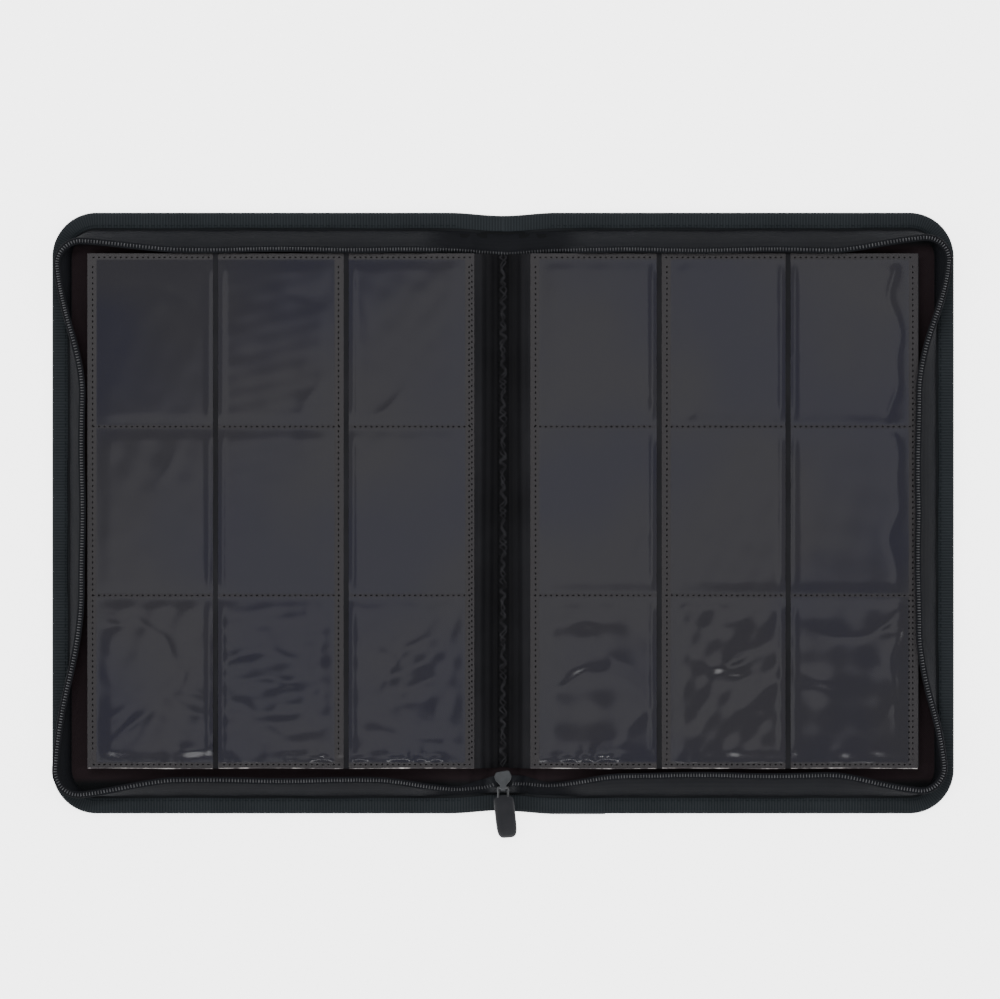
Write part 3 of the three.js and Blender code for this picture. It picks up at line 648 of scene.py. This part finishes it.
def makeZipTape(side):
    # A wall whose lean grows with a power of its height, lightly creased along its length.
    z = zipTape
    s = zipStations(1.6)[:, None]
    x, y, nx, ny, dx, dy, stand = zipLine(s, side)
    t = np.linspace(0, 1, z["levels"])
    f = t ** z["power"]
    crease = 0.16 * np.sin(s / 6.3 + 2.0 * np.sin(s / 31)) * np.sin(math.pi * t)
    half = z["thick"] / 2
    foot = footHeight(x)
    height = foot + (z["top"] - foot) * (t * stand)
    px = x + dx * f + nx * crease
    py = y + dy * f + ny * crease
    # The wall's thickness lies along the normal where it stands and upright where it lies.
    flat = 1 - stand
    ox, oy, oz = nx * (1 - flat) * half, ny * (1 - flat) * half, flat * half
    outer = lay(px + ox, py + oy, height + oz)
    inner = lay(px - ox, py - oy, height - oz)[:, ::-1]
    across = np.hypot(z["top"] - z["foot"], 8.0) * t
    tape = sweep(np.concatenate([outer, inner], 1),
                 lay(s, np.concatenate([across, across[::-1]])))
    # The tape's foot turns outwards and goes under the edge binding.
    share = s / edgeLength(z["inset"])
    low = foot - 0.36
    high = low + z["flangeThick"]
    ex, ey = edgeAt(share * edgeLength(z["flangeFrom"]), z["flangeFrom"])[:2]
    ix, iy = edgeAt(share * edgeLength(z["flangeTo"]), z["flangeTo"])[:2]
    rim = [lay(ex, ey, low), lay(ex, ey, high), lay(ix, iy, high), lay(ix, iy, low)]
    flange = sweep(np.concatenate(rim, 1), look=1)
    return makeHalf(side, "ZipTape", [tape, flange], [zipTapeCloth, coverCloth], 70)


def coilFrame(s, side):
    # The coil's line, with its unit directions along and across it, level with the ground.
    z = zipTape
    x, y, nx, ny, dx, dy, stand = zipLine(s, side)
    foot = footHeight(x)
    line = lay(x + dx, y + dy, foot + (z["top"] - foot) * stand)
    along = np.gradient(line, s, axis=0)
    along[:, 2] = 0
    along = unit(along)
    return line, along, lay(-along[:, 1], along[:, 0], 0)


def makeZipLip(side):
    # The woven edge that carries the coil: a narrow flat ribbon with rounded sides.
    z = zipTape
    s = zipStations(1.2)
    line, along, across = coilFrame(s, side)
    w, h = z["lip"], z["lipThick"] / 2
    outline = np.array([[-w, 0], [-w + 0.3, h], [0, h * 1.2], [w - 0.3, h], [w, 0],
                        [w - 0.3, -h], [0, -h], [-w + 0.3, -h]])
    # Beside the slider the inner side widens into a small flap.
    flap = 1 + z["flap"] * ease(26, 9, line[:, 0]) * (line[:, 1] < 0)
    reach = np.where(outline[:, 0] < 0, outline[:, 0] * flap[:, None], outline[:, 0])
    rings = line[:, None] + across[:, None] * reach[:, :, None] \
        + np.array([0, 0, 1.0]) * outline[None, :, 1:]
    lip = sweep(rings, lay(s[:, None], outline[:, 0]))
    makeHalf(side, "ZipLip", [lip], [zipTapeCloth], 70)


def makeZipTeeth(side):
    # One turn of the coil is a bent bar, thicker at its head, repeated along the coil's line.
    z = zipTape
    t = np.linspace(-1, 1, 6)
    thick = z["toothWidth"] / 2 * (1 + 0.16 * bell(t, 0.65, 0.25)) \
        * np.sqrt(np.maximum(1 - 0.72 * t ** 6, 0.05))
    bar = bentBar(t * z["toothLength"] / 2, thick, thick * 0.75,
                  z["toothHeight"] * 0.32 * (1 - t ** 2))
    s = np.arange(z["pitch"] / 2, edgeLength(z["inset"]) - 4.6, z["pitch"])
    line, along, across = coilFrame(s, side)
    places = line + np.array([0, 0, z["lipThick"] / 2 + z["toothHeight"] * 0.28])
    teeth = scatter(sweep(bar[..., [1, 0, 2]]), places - across * 0.15, along, across,
                    np.tile([0, 0, 1.0], (len(s), 1)))
    return makeHalf(side, "ZipTeeth", [teeth], [nylonCoil], 80)


for side in (1, -1):
    tape = makeZipTape(side)
    makeZipLip(side)
    teeth = makeZipTeeth(side)
    end = "top" if side > 0 else "bottom"
    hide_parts(f"{halfName(side)}_cover_zip_tape", f"spine_zip_tape_{end}")
    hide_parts(f"{halfName(side)}_cover_zip_coil", f"spine_zip_coil_{end}")
print("zip made")

foldLining = {"from": 9.0, "to": 24.0, "thick": 0.35, "half": 156.0}


def makeFoldLining(side):
    # Lining across the fold: it climbs from the spine to the cover and dips at the fold line.
    k = foldLining
    gx, gy = np.meshgrid(np.linspace(k["from"], k["to"], 31), np.linspace(-k["half"], k["half"], 90))
    low, high = cover["spineTop"] + 0.12, cover["liningTop"] + 0.12
    dip = 0.45 * bell(gx, cover["foldOut"], 2.2)
    gz = low + (high - low) * ease(12.4, 19.5, gx) - dip + 0.06 * np.sin(gy / 7.0)
    part = shell(gx, gy, gz + k["thick"], k["thick"])
    piece = makeHalf(side, "FoldLining", [part], [liningCloth])


makeFoldLining(1)
makeFoldLining(-1)

# The solids that are shown as they are get their finish by the last word of their name.
solidLooks = {"board": greyBoard, "lining": liningCloth, "padding": foamPad,
              "backing": leafCloth, "bail": steelWire}
for node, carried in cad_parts.items():
    finish = solidLooks.get(node.split("_")[-1])
    if finish:
        carried.data.materials.clear()
        carried.data.materials.append(finish.material)
print("linings made")

gutter = {"inner": 3.0, "outer": 15.95, "thick": 0.3, "low": cover["spineTop"] + 2.1, "folds": 0.5}


def makeGutter(side):
    # The leaves' cloth goes down from their inner edges to the seam in an S, with soft folds.
    k = gutter
    x = np.linspace(k["inner"], k["outer"], 45)
    gx, gy = np.meshgrid(x, np.linspace(leafLow, leafHigh, 150))
    t = (gx - k["inner"]) / (k["outer"] - k["inner"])
    gz = k["low"] + (backingTop - 0.35 - k["low"]) * ease(0.0, 1.0, t ** 1.15)
    folds = k["folds"] * np.sin(gx * 1.25 + 0.5 * np.sin(gy / 61) + side) \
        * np.sin(math.pi * np.clip(t, 0, 1)) ** 0.7
    pucker = 0.22 * np.sin(gy / 2.9 + 1.4 * np.sin(gy / 17)) * bell(gx, k["inner"], 3.2)
    part = shell(gx, gy, gz + folds + pucker, k["thick"], uv=lay(gx, gy))
    piece = makePiece(f"{leafName(side)}GutterCloth", [part], [leafCloth], side)
    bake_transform(piece)
    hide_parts(f"{leafName(side)}_gutter")


makeGutter(1)
makeGutter(-1)

seam = {"pitch": 3.6, "half": seamHalf - 0.5, "thread": 0.7, "top": seamTop - 0.82, "thick": 1.1}


def makeSeam():
    # A crimped strip under two crossing zigzag threads, like a flat braid pulled uneven.
    turn = 2 * math.pi / seam["pitch"]
    gx, gy = np.meshgrid(np.linspace(-seamHalf, seamHalf, 15),
                         np.linspace(leafLow + 0.4, leafHigh - 0.4, 520))
    crimp = 0.32 * np.sin(gy * turn + gx * 0.9)
    gz = seam["top"] - 0.75 * (gx / seamHalf) ** 2 + crimp * (1 - (gx / seamHalf) ** 4)
    parts = [shell(gx, gy, gz, seam["thick"])]
    for phase in (0, math.pi):
        s = np.arange(leafLow + 0.8, leafHigh - 0.8, seam["pitch"] / 8)
        uneven = 1.1 * np.sin(s / 5.7 + phase) + 0.7 * np.sin(s / 2.3)
        swing = np.sin(s * turn / 2 + phase + uneven)
        px = seam["half"] * 0.8 * np.arcsin(swing * 0.98) / (math.pi / 2)
        px = px * (0.75 + 0.25 * np.sin(s / 3.7 + 2 * phase))
        pz = seam["top"] + 0.28 + 0.22 * np.cos(s * turn + phase)
        line = lay(px, s, pz - 0.4 * (px / seamHalf) ** 2)
        along = unit(np.gradient(line, axis=0))
        across = unit(np.cross(along, [0, 0, 1.0]))
        ring = circle(6)[:, None]
        r = seam["thread"] / 2
        parts.append(sweep(line[:, None] + across[:, None] * (r * 1.3 * np.cos(ring))
                           + np.cross(across, along)[:, None] * (r * np.sin(ring)), look=1))
    piece = makePiece("leafSeamBraid", parts, [leafCloth, seamThread])
    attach(piece, "spine")
    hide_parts("leaf_seam")


makeSeam()
print("gutter and seam made")

page = {
    "columns": 3, "rows": 3, "columnWidth": 70.0, "columnGap": 2.8, "rowPitch": 94.0,
    "margin": 2.5, "film": 0.12, "over": 0.16, "band": 4.9, "lineHalf": 0.9, "puff": 0.42,
    "fineStep": 0.9, "coarseStep": 5.0, "lowerLeaves": 7, "leafFilm": 0.14,
    "dotPitch": 3.05, "dotLength": 1.35, "dotWidth": 0.95, "dotIn": 2.9, "endDotIn": 2.2,
    "rippleSpan": ((34, 120), (19, 66)),    # bright ripples of the left and of the right page
    "rightShift": (-0.8, -0.4, -0.4, -1.4, -1.4, -0.4),
}


def columnSpan(column, side):
    # The right page's films lie a little nearer to the spine than its cloth.
    x0 = leafIn + column * (page["columnWidth"] + page["columnGap"])
    x1 = x0 + page["columnWidth"]
    if side < 0:
        return x0, x1
    return x0 + page["rightShift"][2 * column], x1 + page["rightShift"][2 * column + 1]


def rowLines():
    # The welded lines between the rows, with both ends.
    return leafLow + page["margin"] + page["rowPitch"] * np.arange(page["rows"] + 1)


def wrinkles(gx, gy, seed):
    # A sum of slanting sine waves of falling length, each with its own direction and phase.
    pick = np.random.default_rng(seed)
    total = np.zeros_like(gx)
    for wave in range(9):
        angle = pick.uniform(0, math.pi)
        length = pick.uniform(14, 46) / (1 + wave * 0.12)
        phase = pick.uniform(0, 2 * math.pi)
        bend = pick.uniform(0.6, 1.6) * np.sin(gy / pick.uniform(22, 48) + phase)
        total += np.sin((gx * math.cos(angle) + gy * math.sin(angle)) * 2 * math.pi / length
                        + bend + phase) * pick.uniform(0.4, 1.0) / 9
    return total


def creases(gx, gy, seed, column, side):
    # Soft ridges along curved lines: h exp(-(u/l)^2) / (1 + (v/w)^2), with u along and v across.
    pick = np.random.default_rng(seed)
    lines = rowLines()
    x0, x1 = columnSpan(column, side)
    total = np.zeros_like(gx)
    for row, count, turn, share in ((0, 9, 1.0, 1), (1, 1, 1.3, 0.4), (2, 2, 1.3, 0.4)):
        for _ in range(count):
            cx = pick.uniform(x0 + 8, x1 - 8)
            cy = pick.uniform(lines[row] + 6, lines[row + 1] - 12)
            angle = pick.uniform(-turn, turn)
            curve, long = pick.uniform(-0.022, 0.022), pick.uniform(7, 26)
            wide, high = pick.uniform(2.2, 5.0), pick.uniform(0.2, 0.44) * pick.choice([-1, 1])
            u = (gx - cx) * math.cos(angle) + (gy - cy) * math.sin(angle)
            v = (gy - cy) * math.cos(angle) - (gx - cx) * math.sin(angle) - curve * u * u
            total += high * share * bell(u, 0, long) / (1 + (v / wide) ** 2)
    if column == page["columns"] - 1 and side > 0:  # a long ridge down the right page's outer side
        line = 219 + 2.6 * np.sin(gy / 11.5) + 1.6 * np.sin(gy / 5.3 + 1)
        total += 0.34 / (1 + ((gx - line) / 2.0) ** 2)
    return total


def filmGrid(column, side, fine):
    # Even steps, with more lines of points where the film bends down to a weld.
    p = page
    x0, x1 = columnSpan(column, side)
    step = p["fineStep"] if fine else p["coarseStep"]
    marks = np.array([0.3, p["band"], p["band"] + 0.35])
    marks = x1 - marks if column == p["columns"] - 1 else x0 + marks
    rowMarks = (rowLines()[:, None] + np.array([-1.3, -0.9, 0, 0.9, 1.3])).ravel()
    rowMarks = rowMarks[(rowMarks > leafLow) & (rowMarks < leafHigh)]
    x = np.concatenate([np.linspace(x0, x1, int(70 / step) + 1), marks])
    y = np.concatenate([np.linspace(leafLow, leafHigh, int(287 / (step * 1.2)) + 1), rowMarks])
    return np.meshgrid(*(np.unique(np.round(a, 4)) for a in (x, y)))


def filmPart(column, side, base, puff, face, fine):
    # One column of film: down on the cloth at its welds, loose and wrinkled between them.
    p = page
    x0, x1 = columnSpan(column, side)
    closedX, openX = (x1, x0) if column == p["columns"] - 1 else (x0, x1)
    lines = rowLines()
    gx, gy = filmGrid(column, side, fine)
    fromClosed = abs(gx - closedX)
    fromRow = np.min(abs(gy[..., None] - lines), -1)
    fromEnd = np.minimum(gy - leafLow, leafHigh - gy)
    band = 1 - ease(p["band"], p["band"] + 0.3, fromClosed)
    line = 1 - ease(p["lineHalf"], p["lineHalf"] + 0.4, fromRow)
    weld = np.maximum.reduce([band, line * 0.55, ease(3.4, 3.0, fromEnd)])
    free = ease(p["band"] + 0.2, p["band"] + 9, fromClosed) * ease(1.3, 8, fromRow)
    # The bottom row is looser than the two rows above it.
    seed = 40 + column * 7 + (side > 0) * 31 + (face < 0) * 5
    loose = ease(lines[1] + 4, lines[1] - 14, gy)
    rough = wrinkles(gx, gy, seed) * (0.3 + 1.1 * loose)
    z = puff * (0.3 + 0.4 * loose + 0.7 * rough)
    z = (z + creases(gx, gy, seed, column, side) * (puff > 0)) * free
    nearEnd = ease(leafLow + 16, leafLow + 5, gy) * ease(leafLow + 2.4, leafLow + 4, gy)
    patchy = 0.5 + 0.5 * np.sin(gx / 8.3 + seed)
    pleat = np.abs(np.sin(gx / 3.1 + 1.7 * np.sin(gx / 9.0)))
    inside = ease(x0 - 1, x0 + 4, gx) * ease(x1 + 1, x1 - 4, gx)
    z = z + puff * 0.6 * nearEnd * patchy * pleat * inside
    # Loose film stands up in short bright ripples just above the bottom weld.
    start, stop = p["rippleSpan"][side > 0]
    here = ease(start - 4, start + 4, gx) * ease(stop + 4, stop - 4, gx)
    tall = 0.34 + 0.26 * np.sin(gx / 2.3 + 2 * np.sin(gx / 7.1))
    z = z + (puff > 0) * here * tall * bell(gy, leafLow + 5.4, 1.4)
    # The open edge stands up a little between the rows.
    lift = 0.3 * bell(abs(gx - openX), 2.4, 1.5) * ease(2, 12, fromRow)
    z = np.maximum(z + lift * (puff > 0), 0)
    return shell(gx, gy, base + face * (p["over"] + z), p["film"] * face, lay(gx, gy), weld)


def dotParts(side, base, face):
    # Weld points, flat ovals with sloping rims: down each column's closed edge in one line or
    # two, and across at the ends and between the rows.
    p = page
    turn = circle(8)
    rings = [lay(np.cos(turn) * share * p["dotWidth"] / 2, np.sin(turn) * share * p["dotLength"] / 2,
                 high) for share, high in ((1.0, -0.02), (0.86, 0.045), (0.5, 0.03))]
    down = np.arange(leafLow + 5.0, leafHigh - 4.5, p["dotPitch"])
    spans = [columnSpan(column, side) for column in range(p["columns"])]
    last = spans[-1][1] - p["dotIn"]
    lines = [(x0 + p["dotIn"], down) for x0, _ in spans[:-1]] + [(last, down)]
    if side > 0:
        lines.append((last - 2.1, down[down < leafLow + 95]))
    else:
        lines.insert(1, (lines[0][0] - 1.5, down + 0.9))
    upright = np.concatenate([lay(x, y) for x, y in lines])
    across = np.concatenate([np.arange(x0 + 2.5, x1 - 2, p["dotPitch"]) for x0, x1 in spans])
    ends = (leafLow + p["endDotIn"], *rowLines()[1:-1], leafHigh - p["endDotIn"])
    lying = np.concatenate([lay(across, y) for y in ends])
    flat = np.repeat([0.0, 1.0], [len(upright), len(lying)])
    places = lay(*np.concatenate([upright, lying]).T, base + face * (p["over"] + 0.01))
    return scatter(sweep(np.array(rings)), places, lay(1 - flat, flat, 0),
                   lay(-flat, 1 - flat, 0), lay(0 * flat, 0, face))


def edgePart(column, side, base, face):
    # The cut end of the film, a thin bead along the bottom of a column, coloured near white as a
    # painted highlight where the edge catches the light.
    x0, x1 = columnSpan(column, side)
    x = np.linspace(x0 + 0.3, x1 - 0.3, 60)[:, None]
    ring = circle(5)
    thick = 0.17 + 0.1 * np.sin(x / 5.0 + column) * np.sin(x / 13.0)
    y = leafLow + 0.12 + 0.16 * np.sin(x / 17.0 + side + column)
    return sweep(lay(x, y + np.cos(ring) * thick,
                     base + face * page["over"] + np.sin(ring) * thick * 0.8))


def makePage(side, kind, base, face, puff, replaced):
    # The films of one face of a top leaf, with their weld points and cut ends.
    columns = range(page["columns"])
    parts = [filmPart(c, side, base, puff, face, puff > 0) for c in columns]
    parts += [dotParts(side, base, face) | {"look": 1}]
    parts += [edgePart(c, side, base, face) | {"look": 2} for c in columns]
    name = leafName(side)
    piece = makePiece(f"{name}{kind}Films", parts, [clearFilm, weldDot, filmEdgeHighlight], side, 50)
    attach(piece, f"{name}_leaf")
    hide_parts(*[f"{name}_{replaced}_{c + 1}" for c in columns])


def lowerLeafParts(base, thick, seed):
    # A leaf seen edge on: cloth between two films, a little uneven round its outline.
    pick = np.random.default_rng(seed)
    inner, outer = leafIn + pick.uniform(0, 0.25), leafOut - pick.uniform(0.0, 1.3)
    low, high = leafLow + pick.uniform(0, 0.7), leafHigh - pick.uniform(0, 0.7)
    gx, gy = np.meshgrid(np.linspace(0, 1, 40), np.linspace(0, 1, 60))
    px = inner + (outer - inner) * gx - 0.3 * gx * np.sin(gy * 9 + seed) ** 2
    py = low + (high - low) * gy - 0.25 * np.sin(gx * 11 + seed) ** 2 * (gy - 0.5)
    film = page["leafFilm"]
    layers = ((0.0, film, 1), (0.2, thick - 0.4, 0), (thick - film, film, 1))
    return [shell(px, py, np.full_like(px, base + lift + depth), depth,
                  mask=np.full(px.shape, 0.6), look=look) for lift, depth, look in layers]


def makeLowerLeaf(side, level):
    # Only the uppermost of the block shows its films and weld points.
    node = f"{leafName(side)}_lower_leaf_{level}"
    (_, _, low), (_, _, high) = boxOf(node)
    top = level == page["lowerLeaves"]
    parts = lowerLeafParts(low, high - low - 0.16 * top, level + 10 * (side > 0))
    if top:
        films = [filmPart(c, side, high - 0.22, 0.0, 1, False) for c in range(page["columns"])]
        parts += [film | {"look": 1} for film in films]
        parts += [dotParts(side, high - 0.24, 1) | {"look": 2}]
    piece = makePiece(f"{leafName(side)}LowerLeaf{level}", parts,
                      [leafCloth, clearFilm] + [weldDot] * top, side)
    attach(piece, f"{leafName(side)}_stack")
    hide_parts(node)


for side in (1, -1):
    for level in range(1, page["lowerLeaves"] + 1):
        makeLowerLeaf(side, level)
    makePage(side, "Top", backingTop, 1, page["puff"], "top_leaf_film")
    makePage(side, "Under", leafBase, -1, 0.0, "under_film")
print("leaves made")

slider = {
    "shield": [(-4.0, 3.5), (3.2, 4.7), (4.9, 1.3), (4.0, -1.1), (1.9, -3.5), (1.6, -5.9),
               (-1.5, -6.1), (-1.8, -3.5), (-4.2, -1.1), (-5.0, 1.1)],
    "y": -147.5, "cut": 0.12, "capLow": 20.2, "capTop": 21.4, "plate": 1.0,
    "slotLow": 15.35, "slotHigh": 17.55, "post": (2.3, -144.2, -149.0), "hook": (1.3, -153.35, -154.4),
}


def platePart(levels):
    # A bevelled plate from (height, scale) levels of the shield. Each edge of the outline keeps
    # its middle part, so that its corners are cut.
    points, cut = np.array(slider["shield"]), slider["cut"]
    after = np.roll(points, -1, 0)
    kept = np.stack([points * (1 - cut) + after * cut, points * cut + after * (1 - cut)], 1)
    x, y = kept.reshape(-1, 2).T
    return sweep(np.array([lay(x * scale, y * scale + slider["y"], z) for z, scale in levels]))


def blockPart(half, y0, y1, z0, z1):
    # A block with slanting top and bottom rims.
    rings = []
    for z, trim in ((z0, 0.25), (z0 + 0.2, 0), (z1 - 0.2, 0), (z1, 0.25)):
        w, a, b = half - trim, max(y0, y1) - trim, min(y0, y1) + trim
        rings.append([(-w, b, z), (w, b, z), (w, a, z), (-w, a, z)])
    return sweep(np.array(rings, float))


def makeSlider():
    # Two plates with a slot between them, a post and a hook under a shield-shaped cap.
    k = slider
    low, high, cap = k["slotLow"], k["slotHigh"], k["capLow"]
    post, hook, above = k["post"], k["hook"], k["slotHigh"] + k["plate"]
    parts = [
        platePart([(low - k["plate"], 0.88), (low - 0.75, 0.95), (low - 0.2, 0.96), (low, 0.93)]),
        platePart([(high, 0.93), (high + 0.2, 0.96), (high + 0.75, 0.95), (above, 0.88)]),
        platePart([(cap, 0.95), (cap + 0.15, 1.0), (cap + 0.55, 1.0), (cap + 0.95, 0.95),
                   (k["capTop"] - 0.18, 0.84), (k["capTop"], 0.6)]),
        blockPart(post[0] * 0.5, post[1], post[1] - 2.4, low - 0.3, high + 0.3),
        blockPart(post[0], post[1], post[2], above - 0.3, cap + 0.3),
        blockPart(hook[0], hook[1], hook[2], above + 0.5, cap + 0.3),
    ]
    piece = makePiece("sliderBodyShield", parts, [sliderPaint], sharp=40)
    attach(piece, "slider")
    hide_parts("slider_body")


makeSlider()

pullTab = {"width": 11.4, "length": 27.9, "thick": 2.3, "top": 1.9, "tilt": 5.5, "slope": 28.0,
           "head": 5.0, "narrow": 0.32, "wireHalf": 0.65}


def makePullTab():
    # A soft tab: a rounded outline, its faces domed, sloping down from the slider with a slight
    # turn. The outline is a superellipse, fuller at the free end than at the head.
    k = pullTab
    c, s = np.cos(circle(96)), np.sin(circle(96))
    power = np.where(s < 0, 4.2, 7.0)
    reach = (abs(c) ** power + abs(s) ** power) ** (-1 / power)
    x, y = c * reach * k["width"] / 2, s * reach * k["length"] / 2
    inTop = y - k["length"] / 2 + k["top"]
    x = x * np.where(inTop > 0, 1 - k["narrow"] * inTop / k["top"], 1)
    levels = np.array([0.5, 0.82, 0.94, 1.0, 0.94, 0.82, 0.5])[:, None]
    z = np.array([1.0, 0.9, 0.55, 0.0, -0.55, -0.9, -1.0])[:, None] * k["thick"] / 2
    tilt, slope = math.radians(k["tilt"]), math.radians(k["slope"])
    x, y = x * levels, y * levels - k["head"] - k["length"] / 2
    x, y = (x * math.cos(tilt) - (y + k["head"]) * math.sin(tilt),
            x * math.sin(tilt) + y * math.cos(tilt))
    part = sweep(lay(x, bailEnd - k["wireHalf"] + y * math.cos(slope) - z * math.sin(slope),
                     bailTop - k["wireHalf"] + y * math.sin(slope) + z * math.cos(slope)))
    piece = makePiece("pullTabRubber", [part], [pullRubber], sharp=40)
    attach(piece, "pull")
    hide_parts("pull_tab")


makePullTab()
print("slider and pull made")

stage = {"floor": 6.0, "floorDrop": 0.0003, "glow": 3.4, "room": 0.78, "viewWidth": 0.5595,
         "centre": (-0.0017, 0.0076), "height": 3.0, "sensor": 36}


def makeFloor():
    # A square of evenly glowing white.
    side = stage["floor"]
    mesh = bpy.data.meshes.new("floor")
    corners = ((-side, -side), (side, -side), (side, side), (-side, side))
    mesh.from_pydata([(x, y, -stage["floorDrop"]) for x, y in corners], [], [(0, 1, 2, 3)])
    paleFloor = grainFinish("paleFloor", 2.0, 3, (0.93, 0.93, 0.93), (0.96, 0.96, 0.96),
                            Roughness=0.9, Emission_Color=(1, 1, 1, 1),
                            Emission_Strength=stage["glow"])
    mesh.materials.append(paleFloor.material)
    floor = addObject("floor", mesh)


def makeLamp(name, place, size, power):
    # A rectangle of light turned to the middle of the binder.
    lamp = bpy.data.lights.new(name, "AREA")
    lamp.shape = "RECTANGLE"
    lamp.size, lamp.size_y = size
    lamp.energy = power
    body = addObject(name, lamp)
    body.location = place
    x, y, z = place
    body.rotation_euler = (math.atan2(math.hypot(x, y), z), 0, math.atan2(y, x) + math.pi / 2)


makeFloor()
makeLamp("softTop", (-0.5, 1.05, 2.4), (1.5, 0.5), 20)
makeLamp("softOver", (0.04, 0.03, 3.3), (0.62, 1.5), 1.8)
makeLamp("stripLow", (0.1, -0.92, 2.6), (1.6, 0.22), 5)
makeLamp("softRight", (1.6, -0.2, 1.5), (0.8, 1.4), 10)
makeLamp("softLeft", (-1.7, -0.5, 1.3), (0.7, 1.3), 9)

world = bpy.data.worlds.new("paleRoom")
world.use_nodes = True
world.node_tree.nodes["Background"].inputs[0].default_value = (1.0, 1.0, 1.0, 1)
world.node_tree.nodes["Background"].inputs[1].default_value = stage["room"]
bpy.context.scene.world = world

camera = bpy.data.cameras.new("camera")
camera.sensor_width = stage["sensor"]
camera.lens = stage["sensor"] * stage["height"] / stage["viewWidth"]
camera.clip_end = 20
cameraBody = addObject("camera", camera)
cameraBody.location = (*stage["centre"], stage["height"])
bpy.context.scene.camera = cameraBody

print("stage made")
